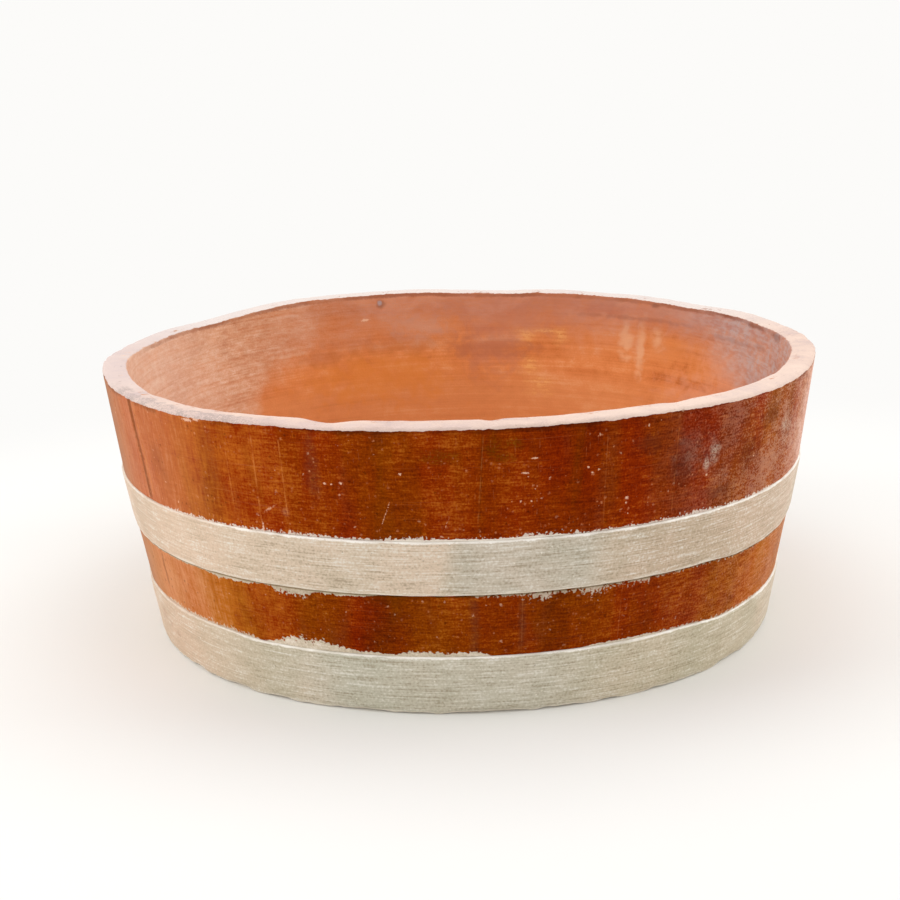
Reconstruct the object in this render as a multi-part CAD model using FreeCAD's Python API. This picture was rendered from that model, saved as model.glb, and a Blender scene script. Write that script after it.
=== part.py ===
"""Concrete barrel planter: a shallow tapered tub with two raised bands, cast round a wire cage.

Millimetres, +Z up. The origin is on the ground under the middle of the planter.
The wall is cast round three steel rings and a circle of bent upright wires. The floor is poured inside
it, on a ledge at the wall's foot, over a wire grid and the turned-in ends of the uprights. A mortar
fillet seals the corner, a pipe stub forms the drain, and the bands are keyed into rebates in the wall.
"""

import FreeCAD, Part
import math
import os

# Wall: diameters over the plain wall, thickness measured level, the rim's worn edges
rim_diameter = 700.0
foot_diameter = 616.0
height = 264.0
rim_wall = 24.0
foot_wall = 26.0
rim_edge_radius = 3.0

# Bands: how far they stand out of the wall, how deep they are keyed into it
band_proud = 2.0
band_key_depth = 3.0
band_edge_radius = 1.5
upper_band_bottom = 114.0
upper_band_width = 50.0
lower_band_width = 56.0

# Floor: the ledge that carries it, the slab and its fall to the drain, the fillet in the corner
ledge_height = 8.0
ledge_width = 12.0
floor_thickness = 30.0
floor_fall = 3.0
fillet_leg = 18.0

# Drain: a stub of plain pipe
sleeve_bore = 36.0
sleeve_wall = 2.0

# Cage: round wire, with a film of concrete between wires that cross
wire_diameter = 4.0
wire_gap = 0.3
upright_count = 16
upright_bend_radius = 16.0
upright_leg_length = 90.0
rim_ring_depth = 25.0
upright_overrun = 10.0
grid_pitch = 100.0
grid_drain_space = 28.0
grid_cover = 8.0
grid_end_cover = 14.0

# Worked out from the sizes above
rim_radius = rim_diameter / 2
foot_radius = foot_diameter / 2
wire_radius = wire_diameter / 2
crossing_step = wire_diameter + wire_gap
upper_band_top = upper_band_bottom + upper_band_width
floor_top = ledge_height + floor_thickness
drain_top = floor_top - floor_fall
sleeve_radius = sleeve_bore / 2 + sleeve_wall
grid_first_row = sleeve_radius + grid_drain_space + wire_radius
grid_lower_height = ledge_height + grid_cover + wire_radius
grid_upper_height = grid_lower_height + crossing_step
leg_height = grid_upper_height + crossing_step
foot_ring_height = leg_height + upright_bend_radius + wire_diameter
waist_ring_height = upper_band_bottom + upper_band_width / 2
rim_ring_height = height - rim_ring_depth
upright_top = rim_ring_height + upright_overrun

AXIS = FreeCAD.Vector(0, 0, 1)
CENTRE = FreeCAD.Vector(0, 0, 0)
FULL_TURN = 360.0


def outer_radius(z):
    """Radius of the plain wall's outside at height z."""
    return foot_radius + (rim_radius - foot_radius) * z / height


def inner_radius(z):
    """Radius of the wall's inside at height z."""
    inner_foot = foot_radius - foot_wall
    inner_rim = rim_radius - rim_wall
    return inner_foot + (inner_rim - inner_foot) * z / height


def cage_radius(z):
    """Radius of the middle of the cage: half way between the inside and the bottom of the rebates."""
    return (outer_radius(z) - band_key_depth + inner_radius(z)) / 2


def section_point(r, z):
    """A point of a section, in the half plane y = 0."""
    return FreeCAD.Vector(r, 0, z)


def section_edges(corners):
    """Closed outline through corners (r, z) or (r, z, rounding radius), as straight edges and arcs."""
    count = len(corners)
    places = [section_point(c[0], c[1]) for c in corners]
    starts, ends, arcs = [], [], []
    for i, corner in enumerate(corners):
        here = places[i]
        if len(corner) == 2:
            starts.append(here)
            ends.append(here)
            arcs.append(None)
            continue
        radius = corner[2]
        back = (places[i - 1] - here).normalize()
        onward = (places[(i + 1) % count] - here).normalize()
        half = back.getAngle(onward) / 2
        reach = radius / math.tan(half)
        middle = (back + onward).normalize() * (radius / math.sin(half) - radius)
        starts.append(here + back * reach)
        ends.append(here + onward * reach)
        arcs.append(Part.Arc(starts[i], here + middle, ends[i]).toShape())
    edges = []
    for i in range(count):
        if arcs[i]:
            edges.append(arcs[i])
        edges.append(Part.LineSegment(ends[i], starts[(i + 1) % count]).toShape())
    return edges


def turned(edges):
    """The solid that a closed outline sweeps out round the planter's axis."""
    face = Part.Face(Part.Wire(edges))
    solid = face.revolve(CENTRE, AXIS, FULL_TURN)
    return solid if solid.Volume > 0 else solid.reversed()


def band(bottom, top):
    """A raised band with rounded outer edges, seated in its rebate from bottom to top."""
    return turned(section_edges([
        (outer_radius(bottom) - band_key_depth, bottom),
        (outer_radius(bottom) + band_proud, bottom, band_edge_radius),
        (outer_radius(top) + band_proud, top, band_edge_radius),
        (outer_radius(top) - band_key_depth, top),
    ]))


def wall_blank():
    """The wall with its rebates and its foot ledge, before the cage is cast into it."""
    ledge_outer = inner_radius(ledge_height)
    ledge_inner = ledge_outer - ledge_width
    return turned(section_edges([
        (ledge_inner, 0),
        (outer_radius(0) - band_key_depth, 0),
        (outer_radius(lower_band_width) - band_key_depth, lower_band_width),
        (outer_radius(lower_band_width), lower_band_width),
        (outer_radius(upper_band_bottom), upper_band_bottom),
        (outer_radius(upper_band_bottom) - band_key_depth, upper_band_bottom),
        (outer_radius(upper_band_top) - band_key_depth, upper_band_top),
        (outer_radius(upper_band_top), upper_band_top),
        (rim_radius, height, rim_edge_radius),
        (rim_radius - rim_wall, height, rim_edge_radius),
        (ledge_outer, ledge_height),
        (ledge_inner, ledge_height),
    ]))


def floor_blank():
    """The floor slab with its hole for the sleeve, before the grid is cast into it."""
    return turned(section_edges([
        (sleeve_radius, ledge_height),
        (inner_radius(ledge_height), ledge_height),
        (inner_radius(floor_top), floor_top),
        (sleeve_radius, drain_top),
    ]))


def corner_fillet():
    """The mortar cove in the corner between the floor and the wall."""
    corner = section_point(inner_radius(floor_top), floor_top)
    on_wall = section_point(inner_radius(floor_top + fillet_leg), floor_top + fillet_leg)
    fall = floor_fall / (corner.x - sleeve_radius)
    on_floor = section_point(corner.x - fillet_leg, floor_top - fillet_leg * fall)
    cove = 1 - math.sqrt(0.5)
    hollow = corner + (on_wall - corner) * cove + (on_floor - corner) * cove
    return turned([
        Part.LineSegment(on_floor, corner).toShape(),
        Part.LineSegment(corner, on_wall).toShape(),
        Part.Arc(on_wall, hollow, on_floor).toShape(),
    ])


def drain_sleeve():
    """The pipe stub, flush with both faces of the floor at the drain."""
    length = drain_top - ledge_height
    foot = section_point(0, ledge_height)
    pipe = Part.makeCylinder(sleeve_radius, length, foot, AXIS)
    return pipe.cut(Part.makeCylinder(sleeve_bore / 2, length, foot, AXIS))


def cage_ring(z):
    """A closed wire ring, just outside the uprights."""
    return Part.makeTorus(cage_radius(z) + crossing_step / 2, wire_radius, section_point(0, z), AXIS)


def upright_place(z):
    """A point of an upright's centre line, just inside the rings."""
    return section_point(cage_radius(z) - crossing_step / 2, z)


def upright():
    """One upright: down the wall, round a bend and in along the floor."""
    top = upright_place(upright_top)
    corner = upright_place(leg_height)
    tip = section_point(inner_radius(leg_height) - upright_leg_length, leg_height)
    up = (top - corner).normalize()
    inward = (tip - corner).normalize()
    half = up.getAngle(inward) / 2
    reach = upright_bend_radius / math.tan(half)
    middle = (up + inward).normalize() * (upright_bend_radius / math.sin(half) - upright_bend_radius)
    bend_top = corner + up * reach
    bend_end = corner + inward * reach
    path = Part.Wire([
        Part.LineSegment(top, bend_top).toShape(),
        Part.Arc(bend_top, corner + middle, bend_end).toShape(),
        Part.LineSegment(bend_end, tip).toShape(),
    ])
    section = Part.Wire(Part.Circle(top, up, wire_radius).toShape())
    return path.makePipeShell([section], True, False)


def upright_circle():
    """All the uprights, evenly spaced round the wall."""
    step = FULL_TURN / upright_count
    one = upright()
    wires = []
    for i in range(upright_count):
        copy = one.copy()
        copy.rotate(CENTRE, AXIS, step * (i + 0.5))
        wires.append(copy)
    return wires


def grid_layer(z, turn):
    """One layer of parallel floor wires at height z, set clear of the drain and turned about the axis."""
    reach = inner_radius(ledge_height) - grid_end_cover
    rows = int((reach - grid_first_row) / grid_pitch) + 1
    wires = []
    for i in range(rows):
        across = grid_first_row + i * grid_pitch
        half = math.sqrt(reach ** 2 - across ** 2)
        for side in (-1, 1):
            start = FreeCAD.Vector(-half, side * across, z)
            wire = Part.makeCylinder(wire_radius, 2 * half, start, FreeCAD.Vector(1, 0, 0))
            wire.rotate(CENTRE, AXIS, turn)
            wires.append(wire)
    return wires


def export(name, shape):
    """Writes one piece, or a group of like pieces, to its own file."""
    shape.exportStep(os.path.join("parts", name + ".step"))
    print(f"{name}: {len(shape.Solids)} solid(s), {shape.Volume / 1000:.1f} cm3, valid {shape.isValid()}")


def main():
    os.makedirs("parts", exist_ok=True)
    rings = {
        "rim_ring": cage_ring(rim_ring_height),
        "waist_ring": cage_ring(waist_ring_height),
        "foot_ring": cage_ring(foot_ring_height),
    }
    uprights = upright_circle()
    lower_grid = grid_layer(grid_lower_height, 0)
    upper_grid = grid_layer(grid_upper_height, 90)
    export("wall_shell", wall_blank().cut(list(rings.values()) + uprights))
    export("floor_slab", floor_blank().cut(uprights + lower_grid + upper_grid))
    export("corner_fillet", corner_fillet())
    export("drain_sleeve", drain_sleeve())
    export("upper_band", band(upper_band_bottom, upper_band_top))
    export("lower_band", band(0, lower_band_width))
    for name, ring in rings.items():
        export(name, ring)
    export("upright_wires", Part.makeCompound(uprights))
    export("floor_wires_lower", Part.makeCompound(lower_grid))
    export("floor_wires_upper", Part.makeCompound(upper_grid))


main()
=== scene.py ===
"""Concrete barrel planter: the looks of its pieces, built round the frame. Metres, +Z up, front at -Y."""

import math

import bpy
import numpy as np
from mathutils import Matrix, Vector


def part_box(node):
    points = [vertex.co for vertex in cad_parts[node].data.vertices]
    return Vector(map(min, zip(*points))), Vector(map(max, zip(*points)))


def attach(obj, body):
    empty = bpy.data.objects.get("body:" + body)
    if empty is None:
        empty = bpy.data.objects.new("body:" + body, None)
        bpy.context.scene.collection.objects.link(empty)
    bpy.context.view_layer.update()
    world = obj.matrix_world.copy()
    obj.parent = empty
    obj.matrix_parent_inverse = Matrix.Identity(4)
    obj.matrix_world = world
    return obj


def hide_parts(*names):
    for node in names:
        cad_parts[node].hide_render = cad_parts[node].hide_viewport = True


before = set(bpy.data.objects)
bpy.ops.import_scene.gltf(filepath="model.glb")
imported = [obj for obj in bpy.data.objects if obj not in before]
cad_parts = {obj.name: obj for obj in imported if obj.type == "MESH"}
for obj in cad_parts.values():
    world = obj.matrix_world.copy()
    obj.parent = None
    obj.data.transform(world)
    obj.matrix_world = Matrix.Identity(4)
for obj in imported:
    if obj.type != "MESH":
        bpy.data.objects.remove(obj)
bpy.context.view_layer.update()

# Wall: the tub itself, concrete about 25 mm thick, cast tapered with two rebates that the bands key into.
# The rim was struck off by hand, so it dips and wanders, and its edges have broken away in small chips.
# Outside and inside are brushed with a wood-brown stain, scored to pass for staves and worn off the rim.
foot_radius = 0.308
rim_radius = 0.3496
belly = 0.0026
foot_wall = 0.026
rim_wall = 0.024
rim_middle = rim_radius - rim_wall / 2
rim_inside = rim_radius - rim_wall
chip_room = 0.0001
rim_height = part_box("wall_shell")[1].z - chip_room
lower_band_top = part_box("lower_band")[1].z
upper_band_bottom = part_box("upper_band")[0].z
upper_band_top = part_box("upper_band")[1].z
rebate_depth = 0.003
ledge_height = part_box("floor_slab")[0].z
ledge_width = 0.012
rim_outer_rounding = 0.003
rim_inner_rounding = 0.002
rounding_steps = 4
full_turn_steps = 720
rim_rows = 6
wall_rows = 38
rows_between_bands = 22
smooth_angle = math.radians(40)
tiny = 1e-5

# Low places of the rim: degrees round from the front (rightwards is positive), metres below its highest point
rim_dips = [(-129, 0.005), (-116, 0.0045), (-100, 0.0055), (-84, 0.0015), (-62, 0.003), (-43, 0.0036),
            (-21, 0.0012), (46, 0.0018), (63, 0.002), (90, 0.003), (107, 0.0045), (128, 0.006), (148, 0.0035),
            (172, 0.0038)]
dip_hold = 0.02
dip_reach = 0.11
rim_grip = 0.004
# Hollows in the rim's inner edge: degrees, depth, reach
rim_hollows = [(-19, 0.0028, 0.03), (-57, 0.0015, 0.03), (4.5, 0.0014, 0.012), (61, 0.0012, 0.025),
               (33, 0.0010, 0.02)]
hollow_hold = 0.012
# Where the tub is out of round: degrees, metres outwards
swells = [(-43, 0.004), (44, 0.004), (137, 0.003), (-139, 0.003)]
swell_reach = 0.2
# Score lines in the outside: degrees, lowest and highest point, depth
scores = [(-56.5, 0.205, 0.262, 0.0014), (-56.0, 0.180, 0.250, 0.0014), (-55.5, 0.165, 0.215, 0.0014),
          (-56.5, 0.056, 0.108, 0.0008), (3.0, 0.180, 0.258, 0.0002), (61.0, 0.170, 0.256, 0.0006)]
# Where the bands' edges wander: an edge, degrees, half its stretch, metres upwards
edge_shifts = [(lower_band_top, -54, 12, 0.0026), (lower_band_top, 57, 12, -0.0032),
               (upper_band_bottom, 58, 11, -0.0028)]
shift_reach = 0.05
# How far the rim's unevenness and its edges' chips go, and how many chips the sides and the back have
uneven_depth = 0.03
outer_edge_width = 0.005
inner_edge_width = 0.007
chips_at_side = 0.6
chips_behind = 0.25


def wall_outside(height):
    """Radius of the plain wall's outside, which bellies out two thirds of the way up.

    The 6.75 makes the curve one at its top.
    """
    share = height / rim_height
    return foot_radius + (rim_radius - foot_radius) * share + belly * 6.75 * share ** 2 * (1 - share)


def wall_inside(height):
    """Radius of the wall's inside, which is straight."""
    inner_foot = foot_radius - foot_wall
    return inner_foot + (rim_radius - rim_wall - inner_foot) * height / rim_height


ledge_outside = wall_inside(ledge_height)
ledge_inside = ledge_outside - ledge_width


def places(piece):
    """The x, y and z of a mesh's vertices, as arrays."""
    flat = np.empty(len(piece.data.vertices) * 3)
    piece.data.vertices.foreach_get("co", flat)
    return flat.reshape(-1, 3).T


def near(x, y, angle, half=0.1):
    """Which points lie within some degrees of an angle round from the front, rightwards positive."""
    return np.abs(np.degrees(np.arctan2(x, -y)) - angle) < half


def rise(distance, start, reach):
    """Nothing up to a start, then evenly up to one over a reach."""
    return np.clip((distance - start) / reach, 0, 1)


def fade(distance, reach, full=1.0):
    """Evenly down to nothing away from a thing; full above 1 keeps it at one for longer."""
    return np.clip(full - distance / reach, 0, 1)


def pick(piece, test):
    """Selects the vertices whose x, y and z pass a test, and leaves the piece in edit mode."""
    bpy.ops.object.mode_set(mode="EDIT")
    bpy.ops.mesh.select_all(action="DESELECT")
    bpy.ops.object.mode_set(mode="OBJECT")
    piece.data.vertices.foreach_set("select", test(*places(piece)))
    bpy.ops.object.mode_set(mode="EDIT")


def pull(way, reach, **more):
    """Moves what is selected, and what lies within reach of it less and less."""
    bpy.ops.transform.translate(value=way, use_proportional_edit=True, proportional_edit_falloff="SMOOTH",
                                proportional_size=reach, **more)


def draw(name, corners):
    """A closed outline through corners (radius, height), drawn by extruding one vertex, left in edit mode."""
    bpy.ops.object.select_all(action="DESELECT")
    bpy.ops.mesh.primitive_plane_add(size=rebate_depth)
    piece = bpy.context.object
    piece.name = name
    piece.data.name = name
    bpy.ops.object.mode_set(mode="EDIT")
    bpy.ops.mesh.select_mode(type="VERT")
    bpy.ops.mesh.merge(type="CENTER")
    bpy.ops.transform.translate(value=(corners[0][0], 0, corners[0][1]))
    for here, there in zip(corners, corners[1:] + corners[:1]):
        step = (there[0] - here[0], 0, there[1] - here[1])
        bpy.ops.mesh.extrude_vertices_move(TRANSFORM_OT_translate={"value": step})
    bpy.ops.mesh.select_all(action="SELECT")
    bpy.ops.mesh.remove_doubles(threshold=tiny)
    return piece


def round_off(piece, radius, segments, test):
    """Rounds the corners of an outline that pass a test."""
    pick(piece, test)
    bpy.ops.mesh.bevel(affect="VERTICES", offset=radius, segments=segments, profile=0.5)


def divide(piece, cuts, test):
    """Cuts the straight runs of an outline, whose two ends pass a test, into rows."""
    pick(piece, test)
    bpy.ops.mesh.subdivide(number_cuts=cuts)


def turn(piece, steps):
    """Turns an outline round the tub's axis into a closed piece with its faces outwards."""
    bpy.ops.object.mode_set(mode="OBJECT")
    sweep = piece.modifiers.new("turn", "SCREW")
    sweep.axis = "Z"
    sweep.angle = 2 * math.pi
    sweep.steps = steps
    sweep.render_steps = steps
    sweep.use_merge_vertices = True
    sweep.merge_threshold = tiny
    bpy.ops.object.modifier_apply(modifier="turn")
    bpy.ops.object.mode_set(mode="EDIT")
    bpy.ops.mesh.select_all(action="SELECT")
    bpy.ops.mesh.remove_doubles(threshold=tiny)
    bpy.ops.mesh.normals_make_consistent(inside=False)
    bpy.ops.object.mode_set(mode="OBJECT")


def swell(piece):
    """Pushes a piece out where the tub is out of round."""
    for angle, out in swells:
        pick(piece, lambda x, y, z: near(x, y, angle) & (np.hypot(x, y) > ledge_inside - tiny))
        pull((out * math.sin(math.radians(angle)), -out * math.cos(math.radians(angle)), 0), swell_reach)
    bpy.ops.object.mode_set(mode="OBJECT")


def shift_edges(piece):
    """Moves the edges of the bands, or of the rebates that they sit in, off their level."""
    for edge, angle, half, lift in edge_shifts:
        corner = wall_outside(edge) - rebate_depth
        pick(piece, lambda x, y, z: near(x, y, angle, half) & (np.abs(z - edge) < tiny)
             & (np.abs(np.hypot(x, y) - corner) < 2 * tiny))
        if piece.data.total_vert_sel:
            pull((0, 0, lift), shift_reach, use_proportional_connected=True)
    bpy.ops.object.mode_set(mode="OBJECT")


def lower_rim(angle, radius, hold, drop, reach):
    """Pulls the top of the rim down at an angle and a radius."""
    pick(wall, lambda x, y, z: near(x, y, angle) & (z > rim_height - hold)
         & (np.abs(np.hypot(x, y) - radius) < rim_grip))
    pull((0, 0, -drop), reach)


def weigh(piece, name, weights):
    """A vertex group that says how strongly a modifier acts at each vertex."""
    group = piece.vertex_groups.new(name=name)
    for index in np.flatnonzero(weights > 0):
        group.add([int(index)], float(weights[index]), "REPLACE")


def roughen(piece, group, lumps, depth, direction="NORMAL", level=1.0, contrast=1.0, brightness=1.0):
    """Works an uneven texture into a group of vertices: the size of its lumps and how deep it goes.

    At level 1 it only sinks in, and at a half it goes as far out as in.
    Brightness above 1 leaves only its hollows.
    """
    texture = bpy.data.textures.new(piece.name + "_" + group, "CLOUDS")
    texture.noise_scale = lumps
    texture.noise_depth = 2
    texture.contrast = contrast
    texture.intensity = brightness
    texture.use_clamp = True
    sink = piece.modifiers.new(texture.name, "DISPLACE")
    sink.texture = texture
    sink.texture_coords = "LOCAL"
    sink.direction = direction
    sink.strength = depth
    sink.mid_level = level
    sink.vertex_group = group
    bpy.ops.object.modifier_apply(modifier=sink.name)


def note(piece, name, values):
    """Keeps a value for each vertex, for the piece's material to read."""
    kept = piece.data.attributes.new(name, "FLOAT", "POINT")
    kept.data.foreach_set("value", values)


def note_place(piece):
    """Keeps where each vertex of a finished piece lies."""
    x, y, z = places(piece)
    note(piece, "across", x)
    note(piece, "ahead", -y)
    note(piece, "height", z)


wall = draw("tub_wall", [
    (ledge_inside, 0),
    (wall_outside(0) - rebate_depth, 0),
    (wall_outside(lower_band_top) - rebate_depth, lower_band_top),
    (wall_outside(lower_band_top), lower_band_top),
    (wall_outside(upper_band_bottom), upper_band_bottom),
    (wall_outside(upper_band_bottom) - rebate_depth, upper_band_bottom),
    (wall_outside(upper_band_top) - rebate_depth, upper_band_top),
    (wall_outside(upper_band_top), upper_band_top),
    (rim_radius, rim_height),
    (rim_inside, rim_height),
    (ledge_outside, ledge_height),
    (ledge_inside, ledge_height),
])
round_off(wall, rim_outer_rounding, rounding_steps,
          lambda x, y, z: (z > rim_height - tiny) & (x > rim_radius - tiny))
round_off(wall, rim_inner_rounding, rounding_steps,
          lambda x, y, z: (z > rim_height - tiny) & (x < rim_inside + tiny))
divide(wall, rim_rows, lambda x, y, z: z > rim_height - tiny)
divide(wall, wall_rows, lambda x, y, z: (np.abs(x - wall_outside(z)) < tiny) & (z > upper_band_top - tiny))
divide(wall, rows_between_bands,
       lambda x, y, z: (np.abs(x - wall_outside(z)) < tiny) & (z < upper_band_bottom + tiny))
divide(wall, wall_rows, lambda x, y, z: np.abs(x - wall_inside(z)) < tiny)
turn(wall, full_turn_steps)

# What the wall's modifiers and material need to know of each point, taken before the rim is pulled about
x, y, z = places(wall)
radius = np.hypot(x, y)
below_rim = rim_height - z
outside = radius > (wall_outside(z) + wall_inside(z)) / 2
on_outside = outside & (radius > wall_outside(z) - 0.001)
note(wall, "below_rim", below_rim)
note(wall, "drawn_height", z)
note(wall, "inside", (~outside).astype(float))
note(wall, "out_on_rim", np.clip((radius - rim_radius) / rim_wall + 1, 0, 1))
more_in_front = np.clip(chips_at_side - y / rim_radius, chips_behind, 1)
from_outer_edge = np.hypot(radius - rim_radius, below_rim)
from_inner_edge = np.hypot(radius - rim_radius + rim_wall, below_rim)
weigh(wall, "rim", fade(below_rim, uneven_depth))
weigh(wall, "outer_edge", more_in_front * fade(from_outer_edge, outer_edge_width, 1.3))
weigh(wall, "inner_edge", fade(from_inner_edge, inner_edge_width, 1.3))
weigh(wall, "skin", np.where(outside, on_outside * rise(below_rim, 0.003, 0.01), rise(z, 0.06, 0.03)))

for angle, dip in rim_dips:
    lower_rim(angle, rim_middle, dip_hold, dip, dip_reach)
for angle, depth, reach in rim_hollows:
    lower_rim(angle, rim_inside, hollow_hold, depth, reach)
shift_edges(wall)
swell(wall)
for angle, low, high, depth in scores:
    pick(wall, lambda x, y, z: near(x, y, angle) & (z > low) & (z < high)
         & (np.hypot(x, y) > wall_outside(z) - rim_wall / 2))
    shrink = 1 - depth / rim_radius
    bpy.ops.transform.resize(value=(shrink, shrink, 1), center_override=(0, 0, 0))
bpy.ops.object.mode_set(mode="OBJECT")
roughen(wall, "rim", 0.05, 0.0005, direction="Z")
roughen(wall, "inner_edge", 0.02, 0.0010)
roughen(wall, "outer_edge", 0.03, 0.0010)
roughen(wall, "outer_edge", 0.011, 0.0022, contrast=2.5, brightness=1.3)
roughen(wall, "skin", 0.06, 0.0010, level=0.5)
bpy.ops.object.shade_smooth_by_angle(angle=smooth_angle)
note_place(wall)
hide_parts("wall_shell")
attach(wall, "root")


def tint(red, green, blue):
    """A colour as a screen shows it, 0 to 255, in the linear values that nodes hold."""
    shares = [part / 255 for part in (red, green, blue)]
    return [s / 12.92 if s <= 0.04045 else ((s + 0.055) / 1.055) ** 2.4 for s in shares] + [1.0]


def feed(tree, socket, value):
    """Links a socket to another, or sets its value."""
    if isinstance(value, bpy.types.NodeSocket):
        tree.links.new(value, socket)
    else:
        socket.default_value = value


def add(tree, kind, inputs=None, **settings):
    """A new node, with its settings made and its inputs fed."""
    node = tree.nodes.new("ShaderNode" + kind)
    for name, value in settings.items():
        setattr(node, name, value)
    for name, value in (inputs or {}).items():
        feed(tree, node.inputs[name], value)
    return node


def calc(tree, operation, *values):
    """The result of one sum."""
    return add(tree, "Math", dict(enumerate(values)), operation=operation).outputs[0]


def times(tree, *values):
    """Several values multiplied together."""
    total = values[0]
    for value in values[1:]:
        total = calc(tree, "MULTIPLY", total, value)
    return total


def ramp(tree, value, start, end, low=0.0, high=1.0):
    """A value that goes smoothly from low to high as another goes from start to end."""
    inputs = {0: value, 1: start, 2: end, 3: low, 4: high}
    return add(tree, "MapRange", inputs, interpolation_type="SMOOTHSTEP", clamp=False).outputs[0]


def shift(tree, value, parts):
    """A value moved by masks or textures (texture, weight)."""
    for texture, weight in parts:
        value = calc(tree, "MULTIPLY_ADD", texture, weight, value)
    return value


def gather(tree, middle, parts):
    """A value about a middle, moved by textures (texture, weight) that are themselves about a half."""
    return shift(tree, middle - sum(weight for texture, weight in parts) / 2, parts)


def any_of(tree, masks):
    """Several masks as one."""
    total = 0
    for mask in masks:
        total = calc(tree, "MAXIMUM", total, mask)
    return total


def mix(tree, share, under, over):
    """One colour mixed into another."""
    return add(tree, "Mix", {0: share, 6: under, 7: over}, data_type="RGBA").outputs[2]


def lay(tree, under, colour, *masks):
    """A colour, 0 to 255, laid over another as strongly as its masks multiplied."""
    return mix(tree, times(tree, *masks), under, tint(*colour))


def shades(tree, value, *stops):
    """A colour that runs through stops (place, red, green, blue) as a value goes from 0 to 1."""
    node = add(tree, "ValToRGB", {0: value})
    line = node.color_ramp.elements
    for element, (place, *colour) in zip((line[0], line[1]), (stops[0], stops[-1])):
        element.position = place
        element.color = tint(*colour)
    for place, *colour in stops[1:-1]:
        line.new(place).color = tint(*colour)
    return node.outputs[0]


def read(tree, name):
    """A value that a piece keeps for each vertex."""
    return add(tree, "Attribute", attribute_name=name).outputs["Fac"]


def new_group(name, inputs, outputs):
    """A node group: its tree, what comes in and what goes out."""
    group = bpy.data.node_groups.new(name, "ShaderNodeTree")
    for title in inputs:
        group.interface.new_socket(title, in_out="INPUT", socket_type="NodeSocketFloat")
    for title in outputs:
        group.interface.new_socket(title, in_out="OUTPUT", socket_type="NodeSocketFloat")
    return group, group.nodes.new("NodeGroupInput").outputs, group.nodes.new("NodeGroupOutput").inputs


def use(tree, group, **inputs):
    """A node group placed in a tree: what it puts out."""
    node = add(tree, "Group", node_tree=group)
    for name, value in inputs.items():
        feed(tree, node.inputs[name], value)
    return node.outputs


def new_material(name, *pieces):
    """A material on one or more pieces: its tree and its shader."""
    material = bpy.data.materials.new(name)
    material.use_nodes = True
    for piece in pieces:
        piece.data.materials.clear()
        piece.data.materials.append(material)
    return material.node_tree, material.node_tree.nodes["Principled BSDF"]


# Where a point lies on the tub: degrees round from the front, and height
tub_place, _, going = new_group("tub_place", [], ["Angle", "Height"])
turned = calc(tub_place, "ARCTAN2", read(tub_place, "across"), read(tub_place, "ahead"))
feed(tub_place, going["Angle"], calc(tub_place, "DEGREES", turned))
feed(tub_place, going["Height"], read(tub_place, "height"))

# Brush strokes: a texture with so many marks to the metre round the tub, and so many up it
brushed, coming, going = new_group("brushed", ["Round", "Up", "Detail", "Swirl"], ["Grain"])
scale = add(brushed, "CombineXYZ", {0: coming["Round"], 1: coming["Round"], 2: coming["Up"]}).outputs[0]
spread = add(brushed, "Mapping", {"Vector": add(brushed, "TexCoord").outputs["Object"], "Scale": scale})
strokes = add(brushed, "TexNoise", {"Vector": spread.outputs[0], "Scale": 1, "Detail": coming["Detail"],
                                    "Distortion": coming["Swirl"]})
feed(brushed, going["Grain"], strokes.outputs[0])

# Specks: ragged chips scattered so many to the metre, a share of them kept, up to a given size in their cell
specks, coming, going = new_group("specks", ["PerMetre", "Share", "Size"], ["Mask"])
place = add(specks, "TexCoord").outputs["Object"]
finer = calc(specks, "MULTIPLY", coming["PerMetre"], 3)
wobble = add(specks, "TexNoise", {"Vector": place, "Scale": finer, "Detail": 2})
cells = add(specks, "TexVoronoi", {"Vector": place, "Scale": coming["PerMetre"]})
chance = add(specks, "SeparateColor", {0: cells.outputs["Color"]}).outputs
away = calc(specks, "ADD", cells.outputs["Distance"], gather(specks, 0, [(wobble.outputs[0], 0.9)]))
dot = ramp(specks, away, calc(specks, "MULTIPLY", chance[1], coming["Size"]), 0)
kept = calc(specks, "LESS_THAN", chance[0], coming["Share"])
feed(specks, going["Mask"], calc(specks, "MULTIPLY", dot, kept))

# A mark of given width and height at one place on the tub, with ragged or soft edges
smudge, coming, going = new_group(
    "smudge", ["Here", "Up", "Ragged", "Angle", "Height", "Width", "Tall", "Soft"], ["Mask"])
turn_to = calc(smudge, "WRAP", calc(smudge, "SUBTRACT", coming["Here"], coming["Angle"]), 180, -180)
across = calc(smudge, "DIVIDE", calc(smudge, "MULTIPLY", turn_to, math.radians(rim_radius)), coming["Width"])
along = calc(smudge, "DIVIDE", calc(smudge, "SUBTRACT", coming["Up"], coming["Height"]), coming["Tall"])
squared = calc(smudge, "MULTIPLY_ADD", across, across, calc(smudge, "MULTIPLY", along, along))
away = calc(smudge, "SQRT", squared)
edge_out = calc(smudge, "ADD", 1, coming["Soft"])
edge_in = calc(smudge, "SUBTRACT", 1, coming["Soft"])
feed(smudge, going["Mask"], ramp(smudge, calc(smudge, "ADD", away, coming["Ragged"]), edge_out, edge_in))

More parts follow.
